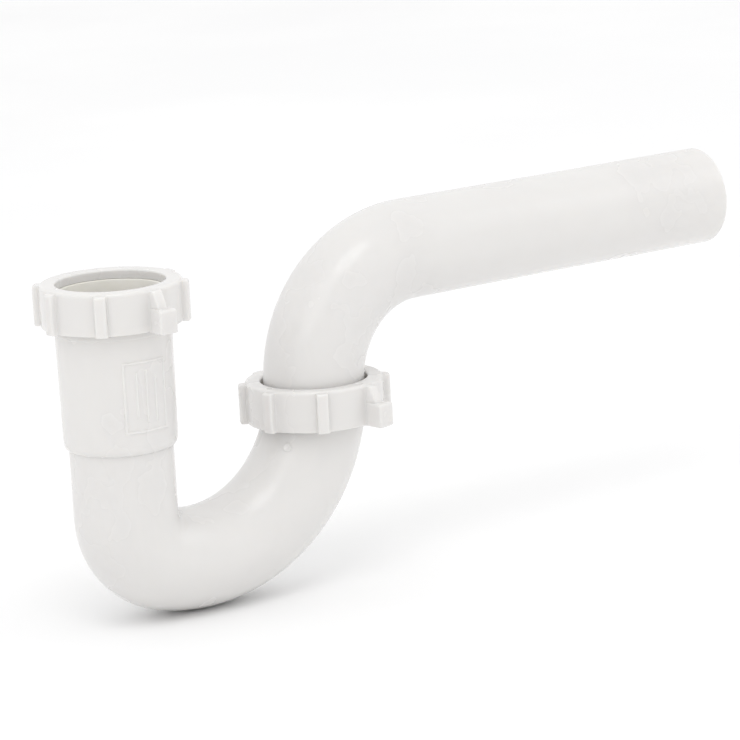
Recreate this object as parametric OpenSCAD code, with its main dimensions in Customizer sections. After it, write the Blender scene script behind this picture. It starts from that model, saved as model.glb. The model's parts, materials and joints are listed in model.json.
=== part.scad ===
// Slip-joint P trap for a 1-1/2 inch tubular drain.
// The bend hangs under the sink's tailpiece, and the trap arm runs back to the wall.
// Origin: on the inlet's axis, at the ledge at the foot of the inlet socket.
// +Z runs up the inlet's axis and +X runs towards the wall.

/* [Tube] */
// Outside diameter of the drain tube
tube_od = 38.1; // [31.8:0.1:51]
// Wall of the trap arm
arm_wall = 1.8; // [1.2:0.1:3]
// Radial room round a tube that slips into a socket
slip_gap = 0.4; // [0.2:0.05:0.5]

/* [Inlet hub] */
// Height of the hub's rim above the ledge in its foot
hub_h = 51.9; // [40:0.1:90]
// Wall of the hub and of the outlet collar
hub_wall = 2.25; // [1.8:0.05:3.5]
// How much narrower the hub's radius is at its foot
hub_draft = 0.5; // [0:0.1:0.8]
// Height of the rounded shoulder under the hub
shoulder_h = 3; // [2:0.5:12]
// Depth of the bevel in each mouth
mouth_h = 2.6; // [1.5:0.1:4]
// Height of the low collar just under the inlet nut
band_h = 2.8; // [1.5:0.1:5]
// How far that collar stands out
band_out = 0.2; // [0.1:0.05:0.4]

/* [Badge] */
// Height of the raised frame on the hub
badge_h = 27; // [18:0.5:34]
// Width of the raised frame
badge_w = 18; // [14:0.5:24]
// Height of the frame's middle above the ledge
badge_z = 19; // [16:0.5:30]
// Width of the frame's bars
badge_bar = 1.1; // [0.8:0.1:2]
// How far the frame stands out
badge_out = 0.4; // [0.2:0.1:0.8]

/* [Bend] */
// Distance between the inlet's and the outlet's axes
centre_dist = 86; // [71:0.5:120]
// Straight leg between the shoulder and the corner
leg_len = 27; // [6:0.1:60]
// Inner radius of the tight corner
crotch_r = 0.6; // [0.4:0.1:4]
// How far the bend's tube stands over the drain tube
bend_over = 0.35; // [0:0.05:1]
// Wall of the bend
bend_wall = 2.2; // [1.6:0.1:3]

/* [Outlet] */
// Depth of the outlet socket
outlet_depth = 7.2; // [5:0.1:14]
// Height of the outlet's rim above the middle of the sweep
outlet_rise = -3.7; // [-5:0.1:12]
// Depth of the collar below the socket's ledge
collar_foot = 1.2; // [1:0.1:4]
// Gap left between a tube's end and its ledge
seat_gap = 0.3; // [0.2:0.05:1]

/* [Slip nuts] */
// Height of a nut
nut_h = 15.8; // [14.5:0.1:22]
// Wall of a nut outside its thread
nut_wall = 3.15; // [2.4:0.05:5]
// Thickness of the lip that presses on the washer
lip_h = 3.5; // [2:0.1:5]
// Room between the tube and the hole in the lip
hole_gap = 1.35; // [0.8:0.05:1.8]
// Bevel round the top of a nut
rim_bevel = 1.2; // [0.4:0.1:1.6]
// Number of grip ribs
rib_count = 8; // [6:2:12]
// Width of a grip rib
rib_w = 4.4; // [2:0.1:6]
// How far a rib stands out
rib_out = 2.6; // [1:0.1:4]
// How far a wing stands out
wing_out = 8.4; // [5:0.1:14]
// Width of a wing's lug
lug_w = 7.8; // [5:0.1:10]
// Height of a wing's lug
lug_h = 9; // [5:0.1:12]
// How far the inlet nut is turned
inlet_nut_angle = 6.3; // [0:0.1:45]
// How far the outlet nut is turned
outlet_nut_angle = 18.1; // [0:0.1:45]

/* [Thread] */
// Rise of the thread in one turn
pitch = 2.209; // [1.8:0.001:3]
// Height of the thread's ridge
thread_h = 1.25; // [0.8:0.05:1.4]
// Radial room between the two threads
thread_gap = 0.3; // [0.3:0.05:0.5]
// Turns of thread on each spigot
male_turns = 2.75; // [1.5:0.25:3]
// Turns of thread in each nut
female_turns = 3.5; // [2:0.25:3.75]
// Plain length between a spigot's rim and its thread
rim_plain = 1.1; // [0.9:0.1:2]
// Plain length in a nut's mouth before its thread
nut_lead = 1.5; // [1.2:0.1:2.5]

/* [Washers] */
// Height of the washer's flat rim
washer_rim = 2.7; // [1.5:0.1:4]
// Depth of the washer's bevelled nose
washer_nose = 2.4; // [1:0.1:3]
// Height at which the washer's rim starts above the mouth
washer_foot = 1.1; // [0.6:0.1:1.6]
// Room between the tube and the washer
washer_gap = 0.55; // [0.4:0.05:0.9]
// Room between the washer and its bevelled seat
bevel_gap = 0.2; // [0.1:0.05:0.5]
// Room above and round the washer's rim
rim_gap = 0.1; // [0.05:0.05:0.4]

/* [Trap arm] */
// Height of the elbow's start above the middle of the sweep
elbow_rise = 1.7; // [0.5:0.1:30]
// Centreline radius of the elbow
elbow_r = 45; // [30:0.1:70]
// How far the elbow's tube stands over the drain tube
elbow_over = 0.25; // [0:0.05:0.4]
// Length of the straight tube past the elbow
arm_len = 143; // [60:1:400]
// Length over which the moulded tube narrows to the drain tube's size
taper_len = 66; // [20:1:120]
// Bevel on the free end
end_bevel = 0.5; // [0.2:0.1:1]

/* [Hidden] */
$fn = 96;
// The tight corner turns by the angle with this cosine and sine, and the sweep turns the rest of the way
corner_cos = 0.28;
corner_sin = 0.96;
corner_turn = acos(corner_cos);
// Radii that several pieces share
tube_r = tube_od / 2;
bore_r = tube_r - arm_wall;
socket_r = tube_r + slip_gap;
hub_r = socket_r + hub_wall;
bend_r = tube_r + bend_over;
bend_bore_r = bend_r - bend_wall;
corner_r = bend_r + crotch_r;
// The straight leg ends in the corner, and the sweep's middle lies above it
leg_z = -shoulder_h - leg_len;
sweep_r = (centre_dist - corner_r * (1 - corner_cos)) / (1 + corner_cos);
sweep_x = centre_dist - sweep_r;
sweep_z = leg_z + (sweep_r - corner_r) * corner_sin;
outlet_z = sweep_z + outlet_rise;
ledge_z = outlet_z - outlet_depth;
elbow_z = sweep_z + elbow_rise;
arm_z = elbow_z + elbow_r;
// Washer and nut sit on a rim, so their heights are measured from it
mouth_r = hub_r - 0.45;
bevel_slope = (mouth_r - socket_r) / mouth_h;
washer_r = hub_r + 0.15;
washer_bore = tube_r + washer_gap;
washer_top = washer_foot + washer_rim;
lip_under = washer_top + rim_gap;
nut_foot = lip_under + lip_h - nut_h;
// The hub narrows from the low collar under its nut down to its foot
band_top = hub_h + nut_foot;
draft_top = band_top - band_h;
foot_r = hub_r - hub_draft;
// Threads
major_r = hub_r + thread_h;
nut_bore = major_r + thread_gap;
nut_crest = hub_r + thread_gap + 0.1;
nut_r = nut_bore + nut_wall;
chamber_r = washer_r + 0.3 + rim_gap;
hole_r = tube_r + hole_gap;
rib_top = nut_h - rim_bevel + 0.6;
male_root = 0.34 * pitch;
male_tip = 0.113 * pitch;
female_root = 0.28 * pitch;
female_tip = 0.077 * pitch;
male_foot = -rim_plain - male_turns * pitch;
thread_seg = 36;
core_r = hub_r - 0.25;
female_top = nut_lead + female_turns * pitch + 1;

// Points of one cross-section of a helical ridge, from the wall to the tip
function ridge_ring(a, z, wall, tip, root_w, tip_w) = [
    [wall * cos(a), wall * sin(a), z - root_w],
    [tip * cos(a), tip * sin(a), z - tip_w],
    [tip * cos(a), tip * sin(a), z + tip_w],
    [wall * cos(a), wall * sin(a), z + root_w]
];

// A helical ridge that fades into its wall at both ends; out is 1 for a spigot, -1 for a nut
module ridge(face_r, height, turns, root_w, tip_w, out) {
    steps = round(turns * thread_seg);
    fade = thread_seg / 4;
    buried = 0.25;
    slope = (root_w - tip_w) / height;
    rings = [for (i = [0:steps])
        let (part = min(1, (i + 0.2) / fade, (steps - i + 0.2) / fade))
        let (rise = -0.08 + (height + 0.08) * part)
        ridge_ring(360 * i / thread_seg, pitch * i / thread_seg, face_r - out * buried,
            face_r + out * rise, root_w + slope * buried, tip_w + slope * (height - rise))];
    points = [for (ring = rings) for (p = ring) p];
    sides = [for (i = [0:steps - 1]) for (k = [0:3])
        let (a = 4 * i + k, b = 4 * i + (k + 1) % 4)
        each [[a, b, a + 4], [b, b + 4, a + 4]]];
    last = 4 * steps;
    caps = [[0, 3, 2], [0, 2, 1], [last, last + 1, last + 2], [last, last + 2, last + 3]];
    faces = [for (f = concat(sides, caps)) out > 0 ? f : [f[2], f[1], f[0]]];
    polyhedron(points = points, faces = faces);
}

// A length of round bar bent about a Y axis
module bent(x, z, bend, r, from, turn) {
    translate([x, 0, z])
        rotate([90, 0, 0])
            rotate_extrude(angle = turn, start = from)
                translate([bend, 0])
                    circle(r = r);
}

// The tight corner, and the wide sweep from the corner's end to the outlet
module corner(r) {
    bent(corner_r, leg_z, corner_r, r, 180, corner_turn);
}
module sweep(r) {
    translate([corner_r, 0, leg_z])
        rotate([0, -180 - corner_turn, 0])
            bent(corner_r - sweep_r, 0, sweep_r, r, 0, 180 - corner_turn);
}

// Inlet column: straight leg, rounded shoulder, hub and the low collar under the nut
module inlet_column() {
    shoulder = [for (i = [1:8])
        [bend_r + (foot_r - bend_r) * sin(90 * i / 8), -shoulder_h * cos(90 * i / 8)]];
    rotate_extrude()
        polygon(concat([[0, leg_z], [bend_r, leg_z], [bend_r, -shoulder_h]], shoulder,
            [[hub_r, draft_top], [hub_r + band_out, draft_top + band_out],
            [hub_r + band_out, band_top - band_out], [hub_r, band_top],
            [core_r, band_top], [core_r, hub_h - 0.1], [core_r - 0.1, hub_h], [0, hub_h]]));
}

// Waterway of the inlet column, with the ledge and the bevelled mouth
module inlet_bore() {
    rotate_extrude()
        polygon([[0, leg_z], [bend_bore_r, leg_z], [bend_bore_r, 0], [socket_r, 0],
            [socket_r, hub_h - mouth_h], [mouth_r, hub_h], [mouth_r, hub_h + 1], [0, hub_h + 1]]);
}

// Collar round the outlet socket
module outlet_collar() {
    foot = ledge_z - collar_foot;
    rotate_extrude()
        polygon([[0, foot], [core_r, foot], [core_r, outlet_z - 0.1], [core_r - 0.1, outlet_z], [0, outlet_z]]);
}

// Outlet socket, with the bevel that the washer's nose enters
module outlet_bore() {
    rotate_extrude()
        polygon([[0, ledge_z], [socket_r, ledge_z], [socket_r, outlet_z - mouth_h],
            [mouth_r, outlet_z], [mouth_r, outlet_z + 2], [0, outlet_z + 2]]);
}

// Many-sided wall that carries a thread, so that the ridge meets flats
module thread_wall(r, h) {
    linear_extrude(height = h)
        polygon([for (i = [0:thread_seg - 1])
            [r * cos(360 * i / thread_seg), r * sin(360 * i / thread_seg)]]);
}

// Spigot thread between a foot and a rim
module male_thread(foot, rim) {
    translate([0, 0, foot])
        thread_wall(hub_r, rim - 0.5 - foot);
    translate([0, 0, rim + male_foot])
        ridge(hub_r, thread_h, male_turns, male_root, male_tip, 1);
}

// Raised frame and plain bars on the hub's front
module badge() {
    bar_gap = (badge_w - 2 * badge_bar) / 4;
    intersection() {
        difference() {
            cylinder(r1 = foot_r + badge_out, r2 = hub_r + badge_out, h = draft_top);
            translate([0, 0, -1])
                cylinder(r = foot_r - 0.3, h = draft_top + 2);
        }
        translate([0, 0, badge_z])
            rotate([90, 0, 0])
                linear_extrude(height = hub_r + 3) {
                    difference() {
                        square([badge_w, badge_h], center = true);
                        square([badge_w - 2 * badge_bar, badge_h - 2 * badge_bar], center = true);
                    }
                    for (i = [-1:1])
                        translate([i * bar_gap, (i == 0 ? 0 : -i * 1.2)])
                            square([badge_bar, badge_h - 7 - 3 * abs(i)], center = true);
                }
    }
}

module trap_bend() {
    color("whitesmoke")
        difference() {
            union() {
                inlet_column();
                corner(bend_r);
                intersection() {
                    sweep(bend_r);
                    translate([sweep_x - 100, -100, ledge_z - collar_foot / 2 - 300])
                        cube([400, 200, 300]);
                }
                translate([centre_dist, 0, 0])
                    outlet_collar();
                badge();
                male_thread(hub_h + nut_foot - 0.4, hub_h);
                translate([centre_dist, 0, 0])
                    male_thread(ledge_z - collar_foot, outlet_z);
            }
            inlet_bore();
            corner(bend_bore_r);
            sweep(bend_bore_r);
            translate([centre_dist, 0, 0])
                outlet_bore();
        }
}

// Bevelled washer on a rim at height 0
module washer() {
    nose_r = mouth_r - bevel_slope * (washer_nose - washer_foot) - bevel_gap;
    rotate_extrude()
        polygon([[washer_bore, washer_foot - washer_nose],
            [nose_r, washer_foot - washer_nose],
            [mouth_r - bevel_gap, 0],
            [mouth_r - bevel_gap, washer_foot - 0.4],
            [washer_r - 0.3, washer_foot - 0.4 + 0.3],
            [washer_r, washer_foot + 0.3],
            [washer_r, washer_top - 0.3],
            [washer_r - 0.3, washer_top],
            [washer_bore, washer_top]]);
}

// One wing of a nut: a rib that spreads down and out into a lug
module wing() {
    top = rib_top - 0.1;
    hull() {
        translate([nut_r - 1, -rib_w / 2, 0])
            cube([1 + rib_out, rib_w, top - 0.8]);
        translate([nut_r - 1, -rib_w / 2 + 0.4, 0])
            cube([0.6 + rib_out, rib_w - 0.8, top]);
        translate([nut_r + rib_out, -lug_w / 2, 0])
            cube([wing_out - rib_out, lug_w, lug_h - 1.5]);
        translate([nut_r + rib_out, -lug_w / 2 + 1.2, 0])
            cube([wing_out - rib_out - 1.2, lug_w - 2.4, lug_h]);
    }
}

// Slip-joint nut whose washer bears on a rim at height 0
module nut(turned) {
    foot = nut_foot;
    top = nut_foot + nut_h;
    in_mesh = 360 * (nut_foot + nut_lead - male_foot) / pitch + 180 - turned;
    difference() {
        union() {
            rotate_extrude()
                polygon([[0, foot], [nut_r - 0.5, foot], [nut_r, foot + 0.5],
                    [nut_r, top - rim_bevel], [nut_r - rim_bevel, top], [0, top]]);
            for (i = [0:rib_count - 1])
                rotate(i * 360 / rib_count)
                    translate([0, rib_w / 2, foot])
                        rotate([90, 0, 0])
                            linear_extrude(height = rib_w)
                                polygon([[nut_r - 1.5, 0], [nut_r + rib_out - 0.4, 0], [nut_r + rib_out, 0.4],
                                    [nut_r + rib_out, rib_top - 0.9], [nut_r + rib_out - 0.9, rib_top],
                                    [nut_r - 1.5, rib_top]]);
            for (i = [0, 1])
                rotate(270 + i * 180)
                    translate([0, 0, foot])
                        wing();
        }
        rotate_extrude()
            polygon([[0, foot - 1], [nut_bore + 0.5, foot - 1], [nut_bore + 0.5, foot],
                [nut_bore - 0.2, foot + 0.7], [chamber_r, foot + 0.7], [chamber_r, lip_under],
                [hole_r, lip_under], [hole_r, top - 0.5], [hole_r + 0.5, top],
                [hole_r + 0.5, top + 1], [0, top + 1]]);
        translate([0, 0, foot + 0.4])
            rotate(in_mesh)
                thread_wall(nut_bore, female_top - 0.4);
    }
    translate([0, 0, foot + nut_lead])
        rotate(in_mesh)
            ridge(nut_bore, nut_bore - nut_crest, female_turns, female_root, female_tip, -1);
}

module inlet_washer() {
    color("ivory")
        translate([0, 0, hub_h])
            washer();
}

module inlet_nut() {
    color("white")
        translate([0, 0, hub_h])
            rotate(inlet_nut_angle)
                nut(inlet_nut_angle);
}

module outlet_washer() {
    color("ivory")
        translate([centre_dist, 0, outlet_z])
            washer();
}

module outlet_nut() {
    color("white")
        translate([centre_dist, 0, outlet_z])
            rotate(outlet_nut_angle)
                nut(outlet_nut_angle);
}

module trap_arm() {
    start = ledge_z + seat_gap;
    over_r = tube_r + elbow_over;
    far = centre_dist + elbow_r + arm_len;
    color("whitesmoke")
        difference() {
            union() {
                translate([centre_dist, 0, 0])
                    rotate_extrude()
                        polygon([[0, start], [tube_r - 0.5, start], [tube_r, start + 0.5],
                            [tube_r, elbow_z - 1.5], [over_r, elbow_z - 0.7], [over_r, elbow_z], [0, elbow_z]]);
                bent(centre_dist + elbow_r, elbow_z, elbow_r, over_r, 90, 90);
                translate([centre_dist + elbow_r, 0, arm_z])
                    rotate([0, 90, 0])
                        rotate_extrude()
                            polygon([[0, 0], [over_r, 0], [tube_r, taper_len], [tube_r, arm_len - end_bevel],
                                [tube_r - end_bevel, arm_len], [0, arm_len]]);
            }
            translate([centre_dist, 0, start - 1])
                cylinder(r = bore_r, h = elbow_z - start + 1);
            bent(centre_dist + elbow_r, elbow_z, elbow_r, bore_r, 90, 90);
            translate([centre_dist + elbow_r, 0, arm_z])
                rotate([0, 90, 0])
                    cylinder(r = bore_r, h = arm_len + 1);
        }
}

trap_bend();
inlet_washer();
inlet_nut();
outlet_washer();
outlet_nut();
trap_arm();
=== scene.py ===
"""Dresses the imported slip-joint P trap: moulded bend, trap arm, winged nuts, bevelled washers and a studio.

Lengths in the classes are millimetres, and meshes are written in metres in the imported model's own frame.
"""

from __future__ import annotations

import json
import logging
import math
from collections.abc import Callable, Sequence
from dataclasses import dataclass, field, replace
from enum import Enum

import bmesh
import bpy
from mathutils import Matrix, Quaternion, Vector


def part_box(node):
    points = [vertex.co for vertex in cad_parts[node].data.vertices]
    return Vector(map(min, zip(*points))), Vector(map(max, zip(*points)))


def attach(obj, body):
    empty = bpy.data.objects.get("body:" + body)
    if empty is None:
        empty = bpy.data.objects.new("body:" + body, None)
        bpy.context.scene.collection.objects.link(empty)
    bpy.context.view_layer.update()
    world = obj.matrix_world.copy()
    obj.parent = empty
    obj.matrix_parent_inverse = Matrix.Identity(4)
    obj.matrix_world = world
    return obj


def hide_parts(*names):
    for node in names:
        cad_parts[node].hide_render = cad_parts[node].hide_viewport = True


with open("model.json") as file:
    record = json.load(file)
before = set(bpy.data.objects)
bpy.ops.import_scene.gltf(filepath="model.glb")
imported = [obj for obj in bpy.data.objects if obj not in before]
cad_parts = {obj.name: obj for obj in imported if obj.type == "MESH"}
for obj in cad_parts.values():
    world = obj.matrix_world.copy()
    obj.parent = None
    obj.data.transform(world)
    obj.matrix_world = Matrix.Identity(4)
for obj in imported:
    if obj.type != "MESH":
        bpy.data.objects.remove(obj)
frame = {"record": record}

MM = 0.001
LOG = logging.getLogger("p_trap")

Ring = Callable[[float], Vector]
Outline = list[tuple[float, float]]
Colour = tuple[float, float, float, float]
Settings = dict[str, object]
Inputs = dict[str | int, object]


# ---------------------------------------------------------------- shader writing


class Value:
    """A shader socket that takes part in Python arithmetic."""

    def __init__(self, web: "Web", socket: bpy.types.NodeSocket) -> None:
        """Keeps the node web that the socket belongs to."""
        self.web = web
        self.socket = socket

    def _math(self, operation: str, *inputs: "Value | float") -> "Value":
        """Adds one Math node on these inputs."""
        return self.web.node("ShaderNodeMath", {"operation": operation}, dict(enumerate(inputs)))

    def __add__(self, other: "Value | float") -> "Value":
        """Sum."""
        return self._math("ADD", self, other)

    __radd__ = __add__

    def __sub__(self, other: "Value | float") -> "Value":
        """Difference."""
        return self._math("SUBTRACT", self, other)

    def __rsub__(self, other: float) -> "Value":
        """Difference from a number."""
        return self._math("SUBTRACT", other, self)

    def __mul__(self, other: "Value | float") -> "Value":
        """Product."""
        return self._math("MULTIPLY", self, other)

    __rmul__ = __mul__

    def __gt__(self, other: float) -> "Value":
        """1 where the value is over the number, 0 elsewhere."""
        return self._math("GREATER_THAN", self, other)

    def __lt__(self, other: float) -> "Value":
        """1 where the value is under the number, 0 elsewhere."""
        return self._math("LESS_THAN", self, other)

    def between(self, low: float, high: float) -> "Value":
        """Maps low to 0 and high to 1, clamped, with a smooth step.

        Args:
            low: value that becomes 0.
            high: value that becomes 1.

        Returns:
            The mapped value.
        """
        settings: Settings = {"interpolation_type": "SMOOTHSTEP"}
        return self.web.node("ShaderNodeMapRange", settings, {0: self, 1: low, 2: high})


class Web:
    """The node web of one material."""

    def __init__(self, name: str) -> None:
        """Makes an empty material of that name with an output node."""
        self.material = bpy.data.materials.new(name)
        self.material.use_nodes = True
        self.tree = self.material.node_tree
        self.tree.nodes.clear()
        self.output = self.tree.nodes.new("ShaderNodeOutputMaterial")
        self.place = self.node("ShaderNodeTexCoord", output="Object")

    def node(
        self,
        kind: str,
        settings: Settings | None = None,
        inputs: Inputs | None = None,
        output: str | int = 0,
    ) -> Value:
        """Adds any node.

        Args:
            kind: Blender's type name.
            settings: attributes, set before the sockets.
            inputs: a number, colour or Value for each named or numbered socket.
            output: the socket that is handed back.

        Returns:
            The chosen output as a Value.
        """
        made = self.tree.nodes.new(kind)
        for key, setting in (settings or {}).items():
            setattr(made, key, setting)
        for key, given in (inputs or {}).items():
            if isinstance(given, Value):
                self.tree.links.new(given.socket, made.inputs[key])
            else:
                made.inputs[key].default_value = given
        return Value(self, made.outputs[output])

    def noise(self, scale: float, detail: float = 3.0, stretch: Sequence[float] = (1, 1, 1)) -> Value:
        """Fractal noise over the piece.

        Args:
            scale: cycles in a metre.
            detail: number of octaves.
            stretch: factor on the scale along X, Y and Z.

        Returns:
            The noise, mostly between 0.3 and 0.7.
        """
        where = self.node("ShaderNodeMapping", inputs={"Vector": self.place, "Scale": tuple(stretch)})
        return self.node("ShaderNodeTexNoise", inputs={"Vector": where, "Scale": scale, "Detail": detail})

    def cells(self, scale: float, output: str) -> Value:
        """Voronoi cells over the piece, with that many in a metre."""
        return self.node("ShaderNodeTexVoronoi", inputs={"Vector": self.place, "Scale": scale}, output=output)

    def blend(self, factor: Value, first: object, second: object) -> Value:
        """A colour between two, by the factor."""
        inputs: Inputs = {0: factor, 6: first, 7: second}
        return self.node("ShaderNodeMix", {"data_type": "RGBA"}, inputs, output=2)

    def surface(self, inputs: Inputs) -> bpy.types.Material:
        """Ends the web in a Principled shader and hands back the material."""
        shader = self.node("ShaderNodeBsdfPrincipled", inputs=inputs)
        self.tree.links.new(shader.socket, self.output.inputs["Surface"])
        return self.material


@dataclass(frozen=True)
class MouldedPlastic:
    """Glossy white moulding: faint flow clouds, a gently uneven skin, some translucency and rare specks."""

    name: str
    body: Colour = (0.735, 0.722, 0.706, 1)
    cloud: Colour = (0.7, 0.688, 0.678, 1)
    speck: Colour = (0.25, 0.23, 0.2, 1)
    roughness: tuple[float, float] = (0.2, 0.32)
    peel: float = 0.35
    peel_depth_m: float = 0.0001
    specks_per_m: float = 42.0
    speck_share: float = 0.07
    speck_size: float = 0.017
    sheath: float = 0.15
    glow: float = 0.4
    glow_depth_m: float = 0.003

    def build(self) -> bpy.types.Material:
        """Makes the material."""
        web = Web(self.name)
        flow = web.noise(26, 4, (1, 1, 0.6)).between(0.34, 0.68)
        fine = web.noise(70, 2).between(0.3, 0.75)
        colour = web.blend(flow * 0.55 + fine * 0.2, self.body, self.cloud)
        draw = web.node("ShaderNodeSeparateColor", inputs={0: web.cells(self.specks_per_m, "Color")})
        dot = web.cells(self.specks_per_m, "Distance") < self.speck_size
        colour = web.blend((draw > 1 - self.speck_share) * dot, colour, self.speck)
        low, high = self.roughness
        bump: Inputs = {"Strength": self.peel, "Distance": self.peel_depth_m, "Height": web.noise(130, 1)}
        inputs: Inputs = {
            "Base Color": colour,
            "Roughness": low + (high - low) * (flow * 0.6 + fine * 0.4),
            "Normal": web.node("ShaderNodeBump", inputs=bump),
            "IOR": 1.49,
            "Coat Weight": self.sheath,
            "Coat Roughness": 0.12,
            "Subsurface Weight": self.glow,
            "Subsurface Radius": (1, 0.95, 0.88),
            "Subsurface Scale": self.glow_depth_m,
        }
        return web.surface(inputs)


@dataclass(frozen=True)
class WasherPlastic:
    """Soft ivory plastic with a waxy, lightly turned skin."""

    name: str
    body: Colour = (0.88, 0.865, 0.82, 1)
    cloud: Colour = (0.85, 0.83, 0.76, 1)

    def build(self) -> bpy.types.Material:
        """Makes the material."""
        web = Web(self.name)
        flow = web.noise(90, 4).between(0.35, 0.7)
        turned = web.noise(500, 2, (0.2, 0.2, 3))
        bump: Inputs = {"Strength": 0.5, "Distance": 0.00006, "Height": turned}
        inputs: Inputs = {
            "Base Color": web.blend(flow, self.body, self.cloud),
            "Roughness": 0.42 + 0.16 * turned,
            "Normal": web.node("ShaderNodeBump", inputs=bump),
        }
        return web.surface(inputs)


@dataclass(frozen=True)
class FloorPaint:
    """Plain pale studio floor with the faintest mottle."""

    name: str
    body: Colour = (0.93, 0.93, 0.93, 1)
    cloud: Colour = (0.91, 0.91, 0.912, 1)

    def build(self) -> bpy.types.Material:
        """Makes the material."""
        web = Web(self.name)
        mottle = web.noise(4, 3).between(0.35, 0.65)
        return web.surface({"Base Color": web.blend(mottle, self.body, self.cloud), "Roughness": 0.7})


# ---------------------------------------------------------------- mesh writing

SHORT_SIDE = 0.45
MERGE_M = 2e-6
CREASE = math.radians(38)
THREAD_STEP = 0.16


def turns(first: float, last: float, step: float) -> list[float]:
    """Angles from first to last, both kept, no further apart than step.

    Args:
        first: first angle.
        last: last angle.
        step: widest spacing.

    Returns:
        The evenly spaced angles.
    """
    count = max(1, math.ceil(abs(last - first) / step - 1e-9))
    return [first + (last - first) * i / count for i in range(count + 1)]


def lathe(axis_x: float, radius: float, z: float, flip: bool = False) -> Ring:
    """A level ring about an upright axis.

    Args:
        axis_x: the axis's place along X.
        radius: the ring's radius.
        z: its height.
        flip: True to start the ring towards -X, as a bend does where it rises.

    Returns:
        The ring.
    """
    side = -1 if flip else 1
    return lambda t: Vector((axis_x + side * radius * math.cos(t), radius * math.sin(t), z))


def rounded(points: Sequence[tuple[float, float]], radius: float, steps: int = 4) -> Outline:
    """Rounds each inner corner of an open outline.

    Args:
        points: the outline's corners.
        radius: the rounding, cut down to just under half of a short side.
        steps: segments in each rounding.

    Returns:
        The outline with arcs for corners.
    """
    made = [points[0]]
    for before, corner, after in zip(points, points[1:], points[2:]):
        here = Vector(corner)
        back, on = Vector(before) - here, Vector(after) - here
        reach = min(radius, SHORT_SIDE * back.length, SHORT_SIDE * on.length)
        start, end = here + back.normalized() * reach, here + on.normalized() * reach
        for i in range(steps + 1):
            t = i / steps
            spot = start * (1 - t) ** 2 + here * (2 * t * (1 - t)) + end * t**2
            made.append((spot.x, spot.y))
    made.append(points[-1])
    return made


def sliced(points: Sequence[tuple[float, float]], step: float) -> Outline:
    """Adds points to an outline so that none lie further apart than step.

    Args:
        points: the outline.
        step: the widest spacing.

    Returns:
        The outline with more points.
    """
    made = [points[0]]
    for (r0, z0), (r1, z1) in zip(points, points[1:]):
        count = max(1, math.ceil(math.hypot(r1 - r0, z1 - z0) / step))
        made += [(r0 + (r1 - r0) * i / count, z0 + (z1 - z0) * i / count) for i in range(1, count + 1)]
    return made


def linked(name: str, mesh: bpy.types.Mesh) -> bpy.types.Object:
    """Smooths a mesh and links it into the scene as an object."""
    mesh.polygons.foreach_set("use_smooth", [True] * len(mesh.polygons))
    made = bpy.data.objects.new(name, mesh)
    bpy.context.scene.collection.objects.link(made)
    return made


def skin(name: str, rows: Sequence[Sequence[Vector]]) -> bpy.types.Object:
    """Joins rows of points into one closed skin of quads, the last row to the first.

    Args:
        name: the object's name.
        rows: closed rows with the same number of points, in millimetres.

    Returns:
        The new object, smooth shaded, with creases where faces meet sharply.
    """
    count = len(rows[0])
    faces = []
    for i in range(len(rows)):
        a, b = i * count, (i + 1) % len(rows) * count
        faces += [(a + j, a + (j + 1) % count, b + (j + 1) % count, b + j) for j in range(count)]
    mesh = bpy.data.meshes.new(name)
    mesh.from_pydata([point * MM for row in rows for point in row], [], faces)
    work = bmesh.new()
    work.from_mesh(mesh)
    bmesh.ops.remove_doubles(work, verts=work.verts, dist=MERGE_M)
    bmesh.ops.dissolve_degenerate(work, edges=work.edges, dist=MERGE_M / 2)
    bmesh.ops.recalc_face_normals(work, faces=work.faces)
    work.to_mesh(mesh)
    work.free()
    made = linked(name, mesh)
    mesh.set_sharp_from_angle(angle=CREASE)
    return made


def ring_skin(name: str, rings: Sequence[Ring], angles: Sequence[float]) -> bpy.types.Object:
    """Makes a closed skin from rings.

    Args:
        name: the object's name.
        rings: the rings in order.
        angles: the places round each ring, in radians.

    Returns:
        The new object.
    """
    return skin(name, [[ring(t) for t in angles] for ring in rings])


def all_round(step: float) -> list[float]:
    """Angles once round a ring, that many degrees apart."""
    return turns(0, math.tau, math.radians(step))[:-1]


class Slot(Enum):
    """The record's material slots."""

    MOULDING = "white_moulding"
    NUT = "nut_plastic"
    WASHER = "washer_plastic"


@dataclass
class Piece:
    """What every dressed piece of the trap shares."""

    name: str
    body: str
    slot: Slot
    finish: MouldedPlastic | WasherPlastic
    node: str | None = None

    def build(self) -> bpy.types.Object:
        """Makes and dresses the piece, each kind in its own way."""
        raise NotImplementedError

    def dress(self, made: bpy.types.Object) -> bpy.types.Object:
        """Gives the mesh its material and body, and hides the CAD node that it stands for.

        Args:
            made: the mesh object.

        Returns:
            The same object.
        """
        made.data.materials.append(self.finish.build())
        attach(made, self.body)
        if self.node:
            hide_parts(self.node)
        LOG.info("%s: %d faces, rides on %s", made.name, len(made.data.polygons), self.body)
        return made


# ---------------------------------------------------------------- shared sizes


@dataclass(frozen=True)
class Tube:
    """Sizes that the socket, the nut and the washer share, all from the drain tube."""

    radius: float = 19.05
    socket: float = 19.45
    hub: float = 21.7
    mouth: float = 21.25
    mouth_depth: float = 2.6
    pitch: float = 2.209
    nut_drop: float = 8.4
    washer_rise: float = 3.8


TUBE = Tube()


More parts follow.
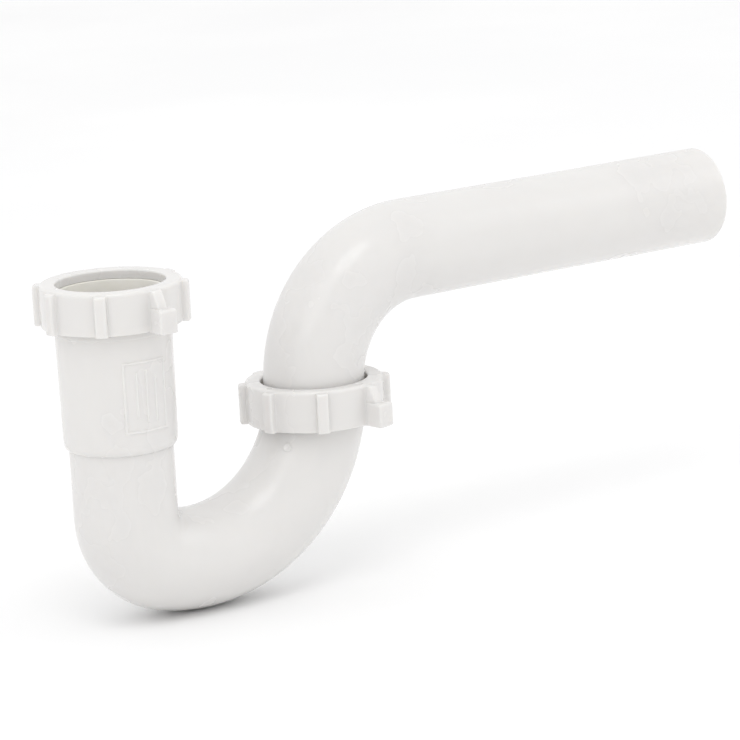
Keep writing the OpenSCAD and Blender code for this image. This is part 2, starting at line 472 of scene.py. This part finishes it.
@dataclass(frozen=True)
class Ridge:
    """A helical ridge on a wall, as height over the wall at any angle and height."""

    start_z: float
    turns: float
    root: float
    tip: float
    height: float
    pitch: float = TUBE.pitch
    fade: float = 0.25

    def over(self, angle: float, z: float) -> float:
        """How far the ridge stands at one place.

        Args:
            angle: radians about the thread's axis.
            z: height.

        Returns:
            The height of the ridge's flank or crest there.
        """
        part = angle / math.tau % 1
        turn = round((z - self.start_z) / self.pitch - part) + part
        if not 0 <= turn <= self.turns:
            return 0.0
        off = abs(z - self.start_z - turn * self.pitch)
        flank = self.height * (self.root - off) / (self.root - self.tip)
        faded = self.height * min(1, turn / self.fade, (self.turns - turn) / self.fade)
        return max(0.0, min(flank, faded))


def spigot_ridge(rim: float) -> Ridge:
    """The thread on a spigot whose rim is at that height, with a plain lead above it."""
    count, lead, height = 2.75, 1.1, 1.25
    pitch = TUBE.pitch
    return Ridge(rim - lead - count * pitch, count, 0.34 * pitch, 0.113 * pitch, height)


def nut_ridge(rim: float) -> Ridge:
    """The thread in a nut on that rim, with a plain lead under it."""
    count, lead, height = 3.5, 1.5, 1.15
    pitch = TUBE.pitch
    return Ridge(rim - TUBE.nut_drop + lead, count, 0.28 * pitch, 0.077 * pitch, height)


# ---------------------------------------------------------------- the bend


@dataclass
class TrapBend(Piece):
    """J-shaped moulding: sleeve hub, leg, tight corner, wide sweep and outlet collar, in one closed skin."""

    outlet_x: float = 86.0
    inlet_rim: float = 51.9
    outlet_rim: float = 0.8
    outer: float = 19.4
    bore: float = 17.2
    corner_r: float = 20.0
    corner_cos: float = 0.28
    shoulder: float = 3.0
    leg: float = 27.0
    draft: float = 0.5
    socket_depth: float = 7.2
    collar_foot: float = 1.2
    band: tuple[float, float] = (0.2, 2.8)
    lead: float = 0.6
    badge_size: tuple[float, float] = (18.0, 27.0)
    badge_z: float = 19.0
    bar: float = 1.1
    badge_out: float = 0.38
    badge_edge: float = 0.3
    level_steps: int = 8

    def __post_init__(self) -> None:
        """Works out the sweep and the fixed heights."""
        self.corner_turn = math.acos(self.corner_cos)
        self.leg_z = -self.shoulder - self.leg
        self.sweep_r = (self.outlet_x - self.corner_r * (1 - self.corner_cos)) / (1 + self.corner_cos)
        self.sweep_x = self.outlet_x - self.sweep_r
        self.sweep_z = self.leg_z + (self.sweep_r - self.corner_r) * math.sin(self.corner_turn)
        self.ledge = self.outlet_rim - self.socket_depth
        self.foot = self.ledge - self.collar_foot

    def corner_ring(self, heading: float, radius: float) -> Ring:
        """A ring in the tight corner.

        Args:
            heading: how far the centreline has turned from straight down.
            radius: the ring's radius.

        Returns:
            The ring.
        """
        inward = Vector((math.cos(heading), 0, math.sin(heading)))
        centre = Vector((self.corner_r, 0, self.leg_z)) - inward * self.corner_r
        return lambda t: centre + inward * (radius * math.cos(t)) + Vector((0, radius * math.sin(t), 0))

    def sweep_ring(self, heading: float, radius: float, level: float = 0.0, part: float = 0.0) -> Ring:
        """A ring on the sweep's skin, square to the centreline or part of the way to a level cut.

        Args:
            heading: how far the centreline has turned from straight down.
            radius: the ring's radius.
            level: the height of the level cut.
            part: 0 for a square ring, 1 for the level cut.

        Returns:
            The ring.
        """

        def spot(t: float) -> Vector:
            """One point of the ring."""
            reach = self.sweep_r - radius * math.cos(t)
            cut = math.pi - math.asin((self.sweep_z - level) / reach)
            turn = heading + (cut - heading) * part
            out = Vector((math.cos(turn), 0, math.sin(turn))) * reach
            return Vector((self.sweep_x, radius * math.sin(t), self.sweep_z)) - out

        return spot

    def curved(self, radius: float, level: float) -> list[Ring]:
        """Rings from the leg's foot to a level cut under the outlet.

        Args:
            radius: the skin's radius.
            level: the height of the cut.

        Returns:
            The rings in flow order.
        """
        corner = [self.corner_ring(h, radius) for h in turns(0, self.corner_turn, math.radians(3))[:-1]]
        short_of_cut = math.radians(13)
        edge = math.pi - math.asin((self.sweep_z - level) / (self.sweep_r - radius)) - short_of_cut
        sweep = [self.sweep_ring(h, radius) for h in turns(self.corner_turn, edge, math.radians(2.2))]
        parts = [(i + 1) / self.level_steps for i in range(self.level_steps)]
        return corner + sweep + [self.sweep_ring(edge, radius, level, part) for part in parts]

    def badge_over(self, x: float, z: float) -> float:
        """How far the raised frame and its three plain bars stand over the hub.

        Args:
            x: sideways from the frame's middle.
            z: height.

        Returns:
            The height over the hub, with soft edges.
        """
        width, height = self.badge_size
        up = z - self.badge_z
        inside = min(width / 2 - abs(x), height / 2 - abs(up))
        depth = min(inside, self.bar - inside)
        gap = (width - 2 * self.bar) / 4
        margin, shorter, step = 7, 3, 1.2
        for i in (-1, 0, 1):
            tall = (height - margin - shorter * abs(i)) / 2
            depth = max(depth, min(self.bar / 2 - abs(x - i * gap), tall - abs(up + i * step)))
        soft = min(1.0, max(0.0, depth / self.badge_edge))
        return self.badge_out * soft * soft * (3 - 2 * soft)

    def hub_ring(self, radius: float, z: float, ridge: Ridge) -> Ring:
        """A ring of the hub's outside, with its thread and its raised frame.

        Args:
            radius: the plain radius there.
            z: height.
            ridge: the spigot's thread.

        Returns:
            The ring.
        """

        def spot(t: float) -> Vector:
            """One point of the ring."""
            r = radius + ridge.over(t, z)
            if math.sin(t) < 0:
                r += self.badge_over(radius * math.cos(t), z)
            return Vector((r * math.cos(t), r * math.sin(t), z))

        return spot

    def collar_ring(self, radius: float, z: float, ridge: Ridge) -> Ring:
        """A ring of the outlet collar's outside, with its thread."""

        def spot(t: float) -> Vector:
            """One point of the ring."""
            r = radius + ridge.over(math.pi - t, z)
            return Vector((self.outlet_x - r * math.cos(t), r * math.sin(t), z))

        return spot

    def rim_edge(self, rim: float) -> Outline:
        """Radius and height over a spigot's rim, from its mouth to where its thread's wall starts."""
        hub = TUBE.hub
        return rounded([(TUBE.mouth + 0.02, rim), (hub - 0.05, rim - 0.05), (hub, rim - self.lead)], 0.25)

    def hub_outline(self) -> Outline:
        """Radius and height down the hub's outside, from the rim to the leg's foot."""
        rim, hub = self.inlet_rim, TUBE.hub
        out, tall = self.band
        band = rim - TUBE.nut_drop
        foot_r = hub - self.draft
        top = self.rim_edge(rim) + sliced([(hub, rim - self.lead), (hub, band)], THREAD_STEP)[1:]
        low = [(hub, band), (hub + out, band - out), (hub + out, band - tall + out), (hub, band - tall)]
        low = rounded(low + [(foot_r, 0.0)], out)[1:]
        side = sliced([low[-2], low[-1]], 0.35)[1:]
        quarter = turns(math.pi / 2, 0, math.pi / 16)
        step = foot_r - self.outer
        shoulder = [(self.outer + step * math.sin(a), -self.shoulder * math.cos(a)) for a in quarter]
        leg = sliced([(self.outer, -self.shoulder), (self.outer, self.leg_z)], 3)[1:-1]
        return top + low[:-1] + side + rounded(shoulder, 0.4, 2)[1:] + leg

    def socket(self, rim: float, ledge: float) -> Outline:
        """Radius and height down a socket, from its bevelled mouth to its ledge.

        Args:
            rim: the rim's height.
            ledge: the ledge's height.

        Returns:
            The outline.
        """
        wall = [(TUBE.mouth, rim), (TUBE.socket, rim - TUBE.mouth_depth), (TUBE.socket, ledge)]
        return sliced(rounded(wall + [(self.bore + 0.1, ledge)], 0.3), 4)

    def angles(self) -> list[float]:
        """Places round the skin, close together across the raised frame."""
        half = math.asin((self.badge_size[0] / 2 + 2 * self.badge_edge) / TUBE.hub)
        front = -math.pi / 2
        dense = turns(front - half, front + half, math.radians(0.7))
        rest = turns(front + half, front - half + math.tau, math.radians(3))
        return dense + rest[1:-1]

    def collar_outline(self) -> Outline:
        """Radius and height up the outlet collar's outside, from its foot to its mouth."""
        hub, foot, rim = TUBE.hub, self.foot, self.outlet_rim
        low = rounded([(hub - 1.5, foot), (hub, foot), (hub, foot + 1)], 0.4)
        wall = sliced([(hub, foot + 1), (hub, rim - self.lead)], THREAD_STEP)
        return low + wall[1:] + self.rim_edge(rim)[-2::-1]

    def build(self) -> bpy.types.Object:
        """Makes the bend's skin, down the outside, up to the outlet's mouth and back along the inside.

        Returns:
            The dressed object.
        """
        inlet, outlet = spigot_ridge(self.inlet_rim), spigot_ridge(self.outlet_rim)
        x, rim = self.outlet_x, self.outlet_rim
        rings = [self.hub_ring(r, z, inlet) for r, z in self.hub_outline()]
        rings += self.curved(self.outer, self.foot)
        rings += [self.collar_ring(r, z, outlet) for r, z in self.collar_outline()]
        rings += [lathe(x, r, z, flip=True) for r, z in self.socket(rim, self.ledge)]
        rings += reversed(self.curved(self.bore, self.ledge))
        rings += [lathe(0, r, z) for r, z in sliced([(self.bore, self.leg_z), (self.bore, 0.0)], 3)[1:]]
        rings += [lathe(0, r, z) for r, z in reversed(self.socket(self.inlet_rim, 0.0))]
        return self.dress(ring_skin(self.name, rings, self.angles()))


@dataclass
class SprueMark(Piece):
    """Small round stub on the sweep where the moulding's sprue was cut off."""

    bend: TrapBend | None = None
    below: float = 27.5
    side: float = 146.0
    radius: float = 1.7
    height: float = 0.4
    sunk: float = 0.8
    pinhole: float = 0.02

    def build(self) -> bpy.types.Object:
        """Makes the stub, a shallow button with a dimpled top, square to the sweep's skin.

        Returns:
            The dressed object.
        """
        bend = self.bend
        fall, side = math.radians(self.below), math.radians(self.side)
        out = Vector((math.cos(fall), 0, -math.sin(fall)))
        normal = out * math.cos(side) - Vector((0, math.sin(side), 0))
        centre = Vector((bend.sweep_x, 0, bend.sweep_z)) + out * bend.sweep_r + normal * bend.outer
        across = normal.cross(Vector((0, 0, 1))).normalized()
        along = normal.cross(across)
        edge = [(self.pinhole, -self.sunk), (self.radius, -self.sunk), (self.radius, self.height - 0.1)]
        edge += [(self.radius * 0.72, self.height), (self.radius * 0.3, self.height - 0.14)]
        outline = rounded(edge + [(self.pinhole, self.height - 0.16)], 0.25)

        def ring(radius: float, height: float) -> Ring:
            """A ring of the stub."""
            spot = centre + normal * height
            return lambda t: spot + across * (radius * math.cos(t)) + along * (radius * math.sin(t))

        rings = [ring(r, h) for r, h in outline]
        return self.dress(ring_skin(self.name, rings, all_round(10)))


# ---------------------------------------------------------------- the arm


@dataclass
class TrapArm(Piece):
    """Tube with a moulded elbow: it stands in the outlet socket and runs back to the wall."""

    axis_x: float = 86.0
    foot: float = -6.1
    elbow_z: float = 6.2
    elbow_r: float = 45.0
    end_x: float = 274.0
    bore: float = 17.25
    swell: float = 0.25
    taper: float = 66.0
    bevel: float = 0.5
    end_zone: float = 2.0

    def elbow_ring(self, heading: float, radius: float) -> Ring:
        """A ring in the elbow.

        Args:
            heading: pi where the tube points up, half pi where it points to the wall.
            radius: the ring's radius.

        Returns:
            The ring.
        """
        outward = Vector((math.cos(heading), 0, math.sin(heading)))
        centre = Vector((self.axis_x + self.elbow_r, 0, self.elbow_z)) + outward * self.elbow_r
        return lambda t: centre + outward * (radius * math.cos(t)) + Vector((0, radius * math.sin(t), 0))

    def run_ring(self, x: float, radius: float) -> Ring:
        """A ring of the straight run to the wall."""
        z = self.elbow_z + self.elbow_r
        return lambda t: Vector((x, radius * math.sin(t), z + radius * math.cos(t)))

    def build(self) -> bpy.types.Object:
        """Makes the arm's skin.

        Returns:
            The dressed object.
        """
        thin, thick = TUBE.radius, TUBE.radius + self.swell
        x0 = self.axis_x + self.elbow_r
        stub = [(self.bore, self.foot), (thin, self.foot), (thin, self.elbow_z - 1.5)]
        stub = rounded(stub + [(thick, self.elbow_z - 0.7), (thick, self.elbow_z)], 0.5)
        rings = [lathe(self.axis_x, r, z, flip=True) for r, z in sliced(stub, 3)]
        headings = turns(math.pi, math.pi / 2, math.radians(2))
        rings += [self.elbow_ring(h, thick) for h in headings[1:-1]]
        last, start = self.end_x, self.end_x - self.end_zone
        run = sliced([(thick, x0), (thin, x0 + self.taper), (thin, start)], 6)
        run += rounded([(thin, start), (thin, last), (self.bore, last)], self.bevel)[1:]
        run += sliced([(self.bore, last - 1), (self.bore, x0)], 8)
        rings += [self.run_ring(x, r) for r, x in run]
        rings += [self.elbow_ring(h, self.bore) for h in reversed(headings[1:-1])]
        rings += [lathe(self.axis_x, self.bore, z, flip=True) for z in (self.elbow_z, self.foot + 0.6)]
        return self.dress(ring_skin(self.name, rings, all_round(2.5)))


# ---------------------------------------------------------------- nuts and washers


def along(steps: Outline, z: float) -> float:
    """Reads a stepped outline at one height.

    Args:
        steps: (height, value) pairs in rising order.
        z: the height.

    Returns:
        The value there, straight between pairs.
    """
    for (z0, v0), (z1, v1) in zip(steps, steps[1:]):
        if z <= z1:
            return v0 + (v1 - v0) * max(0.0, z - z0) / (z1 - z0)
    return steps[-1][1]


@dataclass
class SlipNut(Piece):
    """Slip nut with eight grip ribs, two of them wings that spread into lugs, and its inside thread."""

    axis_x: float = 0.0
    rim: float = 51.9
    turned: float = 6.3
    height: float = 15.8
    wall: float = 26.4
    hole: float = 20.4
    bore: float = 23.25
    chamber: float = 22.25
    ceiling: float = 10.2
    lip: float = 3.5
    bevel: float = 1.2
    rib_out: float = 2.6
    rib_half: float = 2.2
    ribs: int = 8
    wings: tuple[int, int] = (2, 6)
    wing_out: float = 8.4
    lug_half: float = 3.9
    lug_top: float = 9.0
    web_out: float = 5.2
    arc_points: int = 9
    round_points: int = 3

    def __post_init__(self) -> None:
        """Lays out how the wall, ribs and wings change with height above the nut's foot."""
        top, wall, rib = self.height, self.wall, self.wall + self.rib_out
        rib_top, wing = top - self.bevel + 0.6, self.wall + self.wing_out
        inset = [(1 - math.cos(math.radians(a)), math.sin(math.radians(a))) for a in (0, 22, 45, 68, 90)]
        self.wall_steps: Outline = [(0, wall - 0.45), (0.15, wall - 0.15), (0.5, wall)]
        self.wall_steps += [(top - self.bevel * (1 - s), wall - self.bevel * c) for c, s in inset]
        crown = [(rib_top - 0.9 + 0.9 * s, rib - 0.9 * c) for c, s in inset]
        self.rib_steps: Outline = [(0, rib - 0.4), (0.15, rib - 0.12), (0.5, rib), *crown]
        self.rib_steps += [(rib_top + 0.02, 0), (top, 0)]
        lug = [(self.lug_top - 1 + s, wing - c) for c, s in inset]
        self.wing_steps: Outline = [(0, wing - 0.4), (0.15, wing - 0.12), (0.5, wing), *lug]
        self.wing_steps += [(self.lug_top + 0.02, wall + self.web_out), (rib_top - 0.9, rib + 0.1)]
        self.wing_steps += [(z, r) for z, r in self.rib_steps if z > rib_top - 0.8]
        self.lug_steps: Outline = [(0, self.lug_half - 0.35), (0.4, self.lug_half)]
        self.lug_steps += [(self.lug_top - 0.8, self.lug_half), (self.lug_top, self.lug_half - 0.6)]
        self.lug_steps += [(self.lug_top + 0.02, self.rib_half), (top, self.rib_half)]

    def rib(self, wall: float, tip: float, half: float) -> Outline:
        """The outline of one rib in its own frame, X out along the rib; a lug's sides flare outwards.

        Args:
            wall: the nut's radius.
            tip: the rib's radius, or less where there is none.
            half: half of the width at the tip.

        Returns:
            The points from one side to the other, with filleted roots and rounded edges.
        """
        tip = max(tip, wall)
        root = min(0.7, 0.45 * (tip - wall))
        edge = min(0.8, 0.45 * (tip - wall), 0.6 * half)
        foot = min(half, self.rib_half + 0.2)
        made = []
        quarter = turns(0, math.pi / 2, math.pi / 2 / self.round_points)
        for a in quarter:
            y = -foot - root + root * math.sin(a)
            made.append((math.sqrt(wall**2 - y**2) + root * (1 - math.cos(a)), y))
        for a in quarter:
            y = -half + edge * (1 - math.cos(a))
            made.append((math.sqrt(tip**2 - y**2) - edge * (1 - math.sin(a)), y))
        return made + [(tip, 0.0)] + [(x, -y) for x, y in reversed(made)]

    def outline(self, z: float) -> Outline:
        """The nut's whole outline at one height above its foot.

        Args:
            z: the height.

        Returns:
            The points round the nut, always the same number.
        """
        wall = along(self.wall_steps, z)
        sides = []
        for i in range(self.ribs):
            wing = i in self.wings
            tip = along(self.wing_steps if wing else self.rib_steps, z)
            half = along(self.lug_steps, z) if wing else self.rib_half
            turn = math.tau * i / self.ribs
            c, s = math.cos(turn), math.sin(turn)
            sides.append([(x * c - y * s, x * s + y * c) for x, y in self.rib(wall, tip, half)])
        made = []
        for i, points in enumerate(sides):
            following = sides[(i + 1) % self.ribs][0]
            start = math.atan2(points[-1][1], points[-1][0])
            gap = (math.atan2(following[1], following[0]) - start) % math.tau
            made += points
            for k in range(1, self.arc_points + 1):
                a = start + gap * k / (self.arc_points + 1)
                made.append((wall * math.cos(a), wall * math.sin(a)))
        return made

    def levels(self) -> list[float]:
        """Heights at which the outside changes, with more along the web."""
        steps = self.wall_steps + self.rib_steps + self.wing_steps + self.lug_steps
        return sorted({round(z, 4) for z, _ in steps} | {3.0, 6.0, 10.5, 12.0, 13.2})

    def inside(self) -> Outline:
        """Radius and height up the nut's inside, from its mouth to its hole."""
        under, top, bore, ceiling = self.height - self.lip, self.height, self.bore, self.ceiling
        mouth = rounded([(bore + 1.1, 0), (bore + 0.5, 0.02), (bore, 0.6), (bore, 0.9)], 0.2)
        wall = sliced([(bore, 0.9), (bore, ceiling)], THREAD_STEP)[1:]
        step = rounded([(bore, ceiling), (self.chamber, ceiling + 0.05), (self.chamber, under)], 0.15)[1:-1]
        shelf = [(self.chamber, under), (self.hole, under), (self.hole, top - 0.5), (self.hole + 0.5, top)]
        return mouth + wall + step + rounded(shelf + [(self.hole + 1.5, top)], 0.3)

    def build(self) -> bpy.types.Object:
        """Makes the nut's skin.

        Returns:
            The dressed object.
        """
        turn, foot = math.radians(self.turned), self.rim - TUBE.nut_drop
        c, s = math.cos(turn), math.sin(turn)
        x0 = self.axis_x
        ridge = nut_ridge(self.rim)
        above_lug = self.lug_top + 2
        spokes = [math.atan2(y, x) + turn for x, y in self.outline(above_lug)]
        half_a_pitch_off = math.tau * ((ridge.start_z - spigot_ridge(self.rim).start_z) / TUBE.pitch + 0.5)
        rows = []
        for z in self.levels():
            rows.append([Vector((x0 + x * c - y * s, x * s + y * c, foot + z)) for x, y in self.outline(z)])
        for radius, z in reversed(self.inside()):
            row = []
            for a in spokes:
                stands = ridge.over(a - half_a_pitch_off, foot + z) if radius == self.bore else 0
                r = radius - stands
                row.append(Vector((x0 + r * math.cos(a), r * math.sin(a), foot + z)))
            rows.append(row)
        return self.dress(skin(self.name, rows))


@dataclass
class SlipWasher(Piece):
    """Bevelled slip-joint washer that sits in a socket's mouth under its nut."""

    axis_x: float = 0.0
    rim: float = 51.9
    bore: float = 19.6
    rim_r: float = 21.85
    foot: float = 1.1
    nose: float = 2.4
    thick: float = 2.7
    seat_gap: float = 0.2

    def build(self) -> bpy.types.Object:
        """Makes the washer's skin.

        Returns:
            The dressed object.
        """
        slope = (TUBE.mouth - TUBE.socket) / TUBE.mouth_depth
        low, top = self.foot - self.nose, self.foot + self.thick
        seat = TUBE.mouth - self.seat_gap
        edge = [(self.bore, low + 1), (self.bore, low), (seat + slope * low, low), (seat, 0.0)]
        edge += [(seat, self.foot - 0.4), (self.rim_r, self.foot + 0.25), (self.rim_r, top), (self.bore, top)]
        outline = rounded(edge + [(self.bore, low + 1.2)], 0.3)
        rings = [lathe(self.axis_x, r, self.rim + z) for r, z in outline]
        return self.dress(ring_skin(self.name, rings, all_round(3)))


# ---------------------------------------------------------------- studio


@dataclass(frozen=True)
class Softbox:
    """One soft area light that looks at the trap."""

    name: str
    place: tuple[float, float, float]
    size: float
    watts: float
    tint: tuple[float, float, float] = (1.0, 1.0, 1.0)

    def build(self, target: Vector) -> None:
        """Makes the light and turns it to the target."""
        lamp = bpy.data.lights.new(self.name, "AREA")
        lamp.shape, lamp.size, lamp.energy, lamp.color = "DISK", self.size, self.watts, self.tint
        made = bpy.data.objects.new(self.name, lamp)
        made.location = self.place
        made.rotation_euler = (target - made.location).to_track_quat("-Z", "Y").to_euler()
        bpy.context.scene.collection.objects.link(made)


@dataclass
class Studio:
    """Camera, pale floor and soft light."""

    azimuth: float = -33.376
    elevation: float = 12.594
    roll: float = -3.158
    distance: float = 1.55
    lens: float = 201.72
    target: Vector = field(default_factory=lambda: Vector((0.0894, -0.0340, 0.0156)))
    floor_half: float = 8.0
    floor_flat: float = 4.5
    floor_rise: float = 0.12
    floor_gap: float = 0.0002
    world: float = 1.02
    softboxes: tuple[Softbox, ...] = (
        Softbox("key_softbox", (-1.7, -1.0, 1.5), 1.6, 5.0, (1.0, 0.99, 0.98)),
        Softbox("side_softbox", (1.8, -0.7, 1.0), 1.4, 3.0, (0.99, 0.99, 1.0)),
        Softbox("top_softbox", (-0.35, -0.75, 1.7), 0.9, 4.0),
    )

    def camera(self) -> None:
        """Makes the scene's camera."""
        a, e = math.radians(self.azimuth), math.radians(self.elevation)
        back = Vector((math.sin(a) * math.cos(e), -math.cos(a) * math.cos(e), math.sin(e)))
        data = bpy.data.cameras.new("studio_camera")
        data.lens, data.sensor_width = self.lens, 36.0
        data.clip_start, data.clip_end = 0.05, 60.0
        made = bpy.data.objects.new("studio_camera", data)
        made.location = self.target + back * self.distance
        made.rotation_mode = "QUATERNION"
        level = (-back).to_track_quat("-Z", "Y")
        made.rotation_quaternion = Quaternion(back, math.radians(self.roll)) @ level
        bpy.context.scene.collection.objects.link(made)
        bpy.context.scene.camera = made

    def floor(self, height: float) -> bpy.types.Object:
        """Makes the floor, gently rising at its far edges, at the trap's lowest point.

        Args:
            height: the floor's height in metres.

        Returns:
            The floor.
        """
        work = bmesh.new()
        bmesh.ops.create_grid(work, x_segments=40, y_segments=40, size=self.floor_half)
        for vert in work.verts:
            past_flat = max(0.0, vert.co.to_2d().length - self.floor_flat)
            vert.co.z = height + self.floor_rise * past_flat**2
        mesh = bpy.data.meshes.new("studio_floor")
        work.to_mesh(mesh)
        work.free()
        mesh.materials.append(FloorPaint("floor_paint").build())
        return linked("studio_floor", mesh)

    def build(self, lowest: float) -> None:
        """Makes the whole studio round the trap.

        Args:
            lowest: the height in metres of the trap's lowest point.
        """
        height = lowest - self.floor_gap
        self.camera()
        self.floor(height)
        for box in self.softboxes:
            box.build(self.target)
        sky = bpy.data.worlds.new("studio_air")
        sky.use_nodes = True
        air = sky.node_tree.nodes["Background"]
        air.inputs["Color"].default_value = (1.0, 1.0, 1.0, 1)
        air.inputs["Strength"].default_value = self.world
        bpy.context.scene.world = sky
        bpy.context.scene.view_settings.view_transform = "Standard"
        LOG.info("studio: %d softboxes, floor at %.4f m", len(self.softboxes), height)


# ---------------------------------------------------------------- the trap


def middle_x(node: str) -> float:
    """A node's middle along X, in millimetres."""
    low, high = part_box(node)
    return (low[0] + high[0]) / 2 / MM


def rim_under(node: str) -> float:
    """Height in millimetres of the rim that a washer sits on."""
    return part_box(node)[1][2] / MM - TUBE.washer_rise


def pieces() -> list[Piece]:
    """Lists the trap's pieces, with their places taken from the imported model.

    Returns:
        The pieces in the order that water meets them.
    """
    outlet_x = middle_x("outlet_washer")
    inlet_rim, outlet_rim = rim_under("inlet_washer"), rim_under("outlet_washer")
    arm_z = frame["record"]["mounts"][1]["pos_m"][2] / MM
    arm_low, arm_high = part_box("trap_arm")
    bend_white, sprue_white = MouldedPlastic("bend_white"), MouldedPlastic("sprue_white", glow=0.0)
    nut_white, arm_white = MouldedPlastic("nut_white", peel=0.25), MouldedPlastic("arm_white")
    ivory = WasherPlastic("washer_ivory")
    bend = TrapBend("bend_moulding", "bend", Slot.MOULDING, bend_white, "trap_bend")
    bend = replace(bend, outlet_x=outlet_x, inlet_rim=inlet_rim, outlet_rim=outlet_rim)
    made: list[Piece] = [bend, SprueMark("sprue_mark", "bend", Slot.MOULDING, sprue_white, bend=bend)]
    for end, x, rim, turned in (("inlet", 0.0, inlet_rim, 6.3), ("outlet", outlet_x, outlet_rim, 18.1)):
        washer, nut = f"{end}_washer", f"{end}_nut"
        made.append(SlipWasher(f"{washer}_ring", f"{end}_seal", Slot.WASHER, ivory, washer, x, rim))
        made.append(SlipNut(f"{nut}_moulding", nut, Slot.NUT, nut_white, nut, x, rim, turned))
    arm = TrapArm("arm_moulding", "arm", Slot.MOULDING, arm_white, "trap_arm", outlet_x)
    elbow_z = arm_z - arm.elbow_r
    return made + [replace(arm, foot=arm_low[2] / MM, elbow_z=elbow_z, end_x=arm_high[0] / MM)]


def main() -> None:
    """Builds the studio and every piece."""
    logging.basicConfig(level=logging.INFO, format="%(name)s %(message)s")
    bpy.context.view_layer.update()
    Studio().build(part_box("trap_bend")[0][2])
    for piece in pieces():
        piece.build()


if __name__ == "__main__":
    main()
